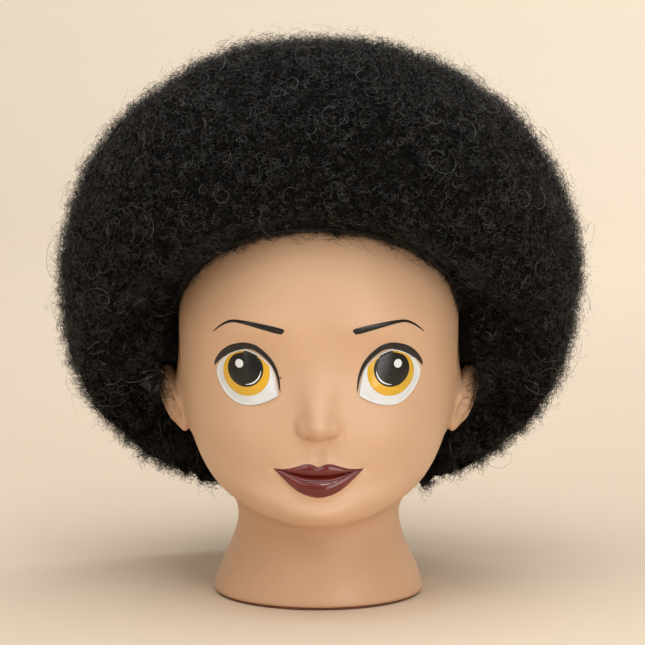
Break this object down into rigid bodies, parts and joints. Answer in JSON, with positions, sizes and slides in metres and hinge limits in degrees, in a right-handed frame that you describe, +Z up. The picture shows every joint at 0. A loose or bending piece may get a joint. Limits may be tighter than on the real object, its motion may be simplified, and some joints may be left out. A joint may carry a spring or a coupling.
{
  "type": "mannequin training head",
  "caption": "Soft vinyl doll-faced training head on its own flared neck stand, wearing a lift-off rounded afro wig.",
  "frame": {"origin": "under the middle of the whole object, on the plane it stands on", "axes": "+Z up, the face looks towards -Y, +X is the viewer's right"},
  "size_m": [0.2678, 0.2513, 0.279],
  "materials": {
    "vinyl_skin": "matte soft PVC skin, light tan",
    "eye_plastic": "glossy printed doll eye, white with an amber iris",
    "plug_plastic": "moulded off-white plastic",
    "pad_foam": "dark reddish-brown non-slip foam",
    "cap_net": "black stretch net",
    "band_elastic": "black woven elastic",
    "tab_felt": "skin-coloured felt",
    "wire_steel": "plain steel wire and strip",
    "weft_thread": "black sewn weft seam",
    "hair_fibre": "matte black tightly curled synthetic hair"
  },
  "bodies": {
    "head": {"head_shell": "vinyl_skin", "eye_left": "eye_plastic", "eye_right": "eye_plastic", "neck_plug": "plug_plastic", "neck_pad": "pad_foam"},
    "wig": {"wig_cap": "cap_net", "front_band": "band_elastic", "nape_band": "band_elastic", "ear_tab_left": "tab_felt", "ear_tab_right": "tab_felt", "tab_stay_left": "wire_steel", "tab_stay_right": "wire_steel", "hair_mass": "hair_fibre", "weft_1": "weft_thread", "weft_2": "weft_thread", "weft_3": "weft_thread", "weft_4": "weft_thread", "weft_5": "weft_thread", "weft_6": "weft_thread", "weft_7": "weft_thread", "weft_8": "weft_thread"},
    "left_strap": {"strap_left": "band_elastic", "strap_hook_left": "wire_steel"},
    "right_strap": {"strap_right": "band_elastic", "strap_hook_right": "wire_steel"}
  },
  "joints": [
    {"name": "wig_lift", "type": "slide", "parent": "head", "child": "wig", "axis": [0, 0, 1], "range_m": [0, 0.2]},
    {"name": "strap_adjust_left", "type": "slide", "parent": "wig", "child": "left_strap", "axis": [0.8757, 0.4828, 0], "range_m": [0, 0.006]},
    {"name": "strap_adjust_right", "type": "slide", "parent": "wig", "child": "right_strap", "axis": [-0.8757, 0.4828, 0], "range_m": [0, 0.006]}
  ]
}
